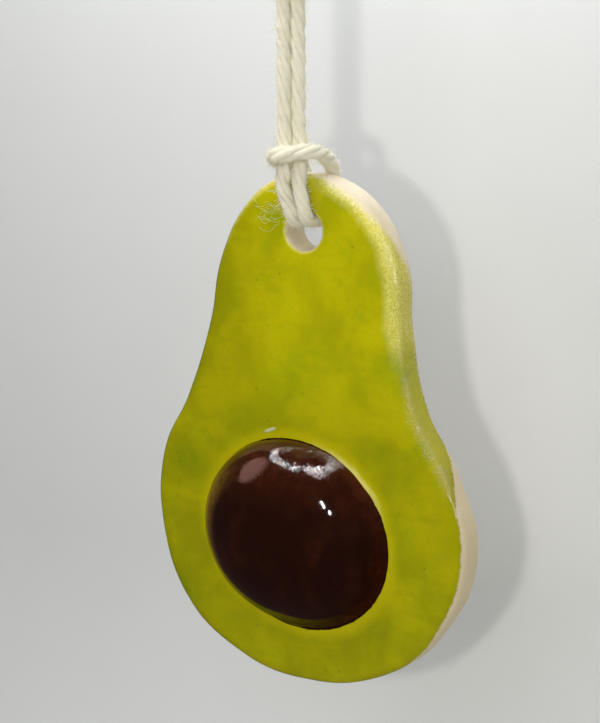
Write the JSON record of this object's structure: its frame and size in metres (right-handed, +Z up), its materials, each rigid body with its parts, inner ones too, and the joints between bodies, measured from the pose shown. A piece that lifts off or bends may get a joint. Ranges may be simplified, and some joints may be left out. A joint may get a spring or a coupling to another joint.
{
  "type": "ceramic avocado ornament",
  "caption": "Flat glazed clay half avocado with a domed pit, hung by a hole near its top from a doubled cotton cord.",
  "frame": {"origin": "top of the cord's hanging loop, inside the bend", "axes": "+Z up along the hanging cord, glazed face towards -Y, +X to the right seen from the front"},
  "size_m": [0.0619, 0.0207, 0.1482],
  "materials": {
    "green_glaze": "glossy brushed-on glaze over pale clay",
    "brown_glaze": "very glossy glaze",
    "cotton": "twisted, slightly hairy"
  },
  "bodies": {
    "root": {"ceramic_body": "green_glaze", "pit": "brown_glaze", "cord_loop": "cotton", "cord_wrap": "cotton"}
  },
  "joints": []
}
